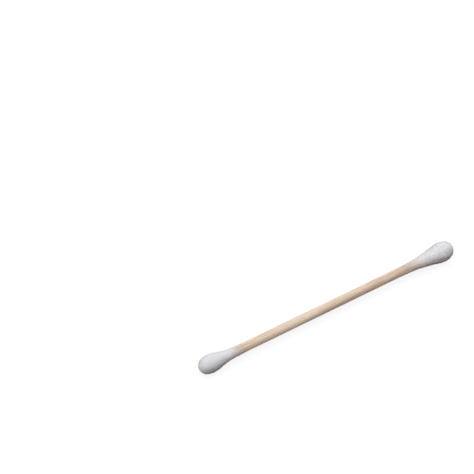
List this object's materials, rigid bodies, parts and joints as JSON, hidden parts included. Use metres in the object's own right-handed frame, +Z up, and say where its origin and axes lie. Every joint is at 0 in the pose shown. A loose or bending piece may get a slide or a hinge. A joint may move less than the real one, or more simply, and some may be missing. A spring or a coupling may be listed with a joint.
{
  "type": "cotton swab",
  "caption": "Double-ended cotton swab: a slim round wooden stick with a wound cotton bud on each end, one fuller and longer than the other, for dabbing, cleaning and applying.",
  "frame": {"origin": "on the table below the middle of the stick, at the bottom centre of the bounding box", "axes": "+X along the swab from the slimmer blunter bud to the fuller one, +Z up from the table it lies on"},
  "size_m": [0.075, 0.0052, 0.0051],
  "materials": {
    "stick_wood": "bare turned birch dowel, smooth and matte",
    "bud_cotton": "white cotton fibre wound on the stick, soft and matte"
  },
  "bodies": {
    "root": {"wooden_stick": "stick_wood", "cotton_bud_left": "bud_cotton", "cotton_bud_right": "bud_cotton"}
  },
  "joints": []
}
